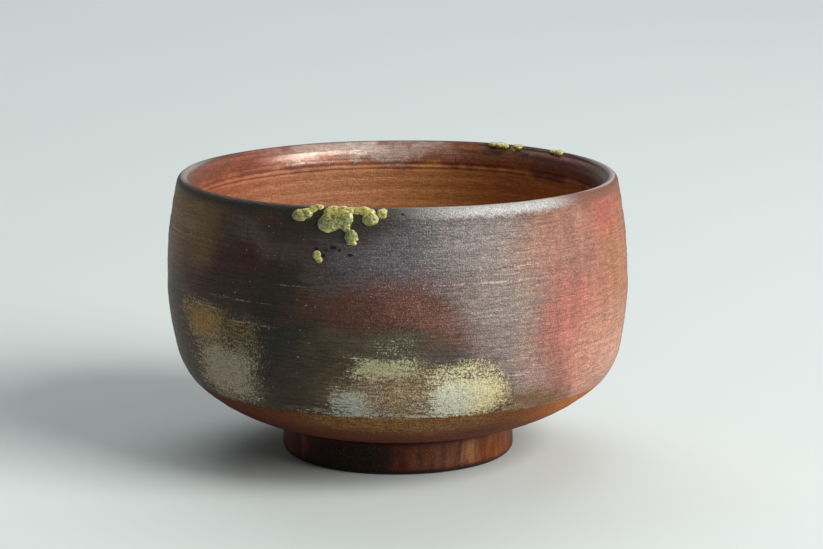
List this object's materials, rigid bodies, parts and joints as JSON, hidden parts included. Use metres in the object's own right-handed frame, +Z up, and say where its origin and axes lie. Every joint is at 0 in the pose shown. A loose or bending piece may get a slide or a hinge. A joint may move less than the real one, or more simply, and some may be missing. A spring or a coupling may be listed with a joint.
{
  "type": "matcha bowl",
  "caption": "Wood-fired stoneware matcha bowl: deep rounded wall, soft rolled lip, trimmed underside on a low foot ring, with beads of natural ash glass over the lip.",
  "frame": {"origin": "centre of the plane that the foot ring stands on", "axes": "+Z up along the bowl's axis, -Y towards the bowl's front (the side with the main run of ash glass), +X to the viewer's right"},
  "size_m": [0.125, 0.125, 0.0771],
  "materials": {
    "fired_clay": "satin, unglazed and flashed by the fire from charcoal to rust red, with fine turning marks",
    "foot_clay": "satin, unglazed, dark red-brown",
    "ash_glass": "glossy, mottled yellow-green natural ash glass"
  },
  "bodies": {
    "root": {"bowl_body": "fired_clay", "foot_ring": "foot_clay", "front_ash_run_left": "ash_glass", "front_ash_run_main": "ash_glass", "front_ash_hanging_drop": "ash_glass", "front_ash_run_right": "ash_glass", "front_ash_end_bead": "ash_glass", "front_ash_low_bead": "ash_glass", "rear_ash_run": "ash_glass", "rear_ash_inner_drip": "ash_glass", "rear_ash_side_run": "ash_glass", "rear_ash_dot": "ash_glass"}
  },
  "joints": []
}
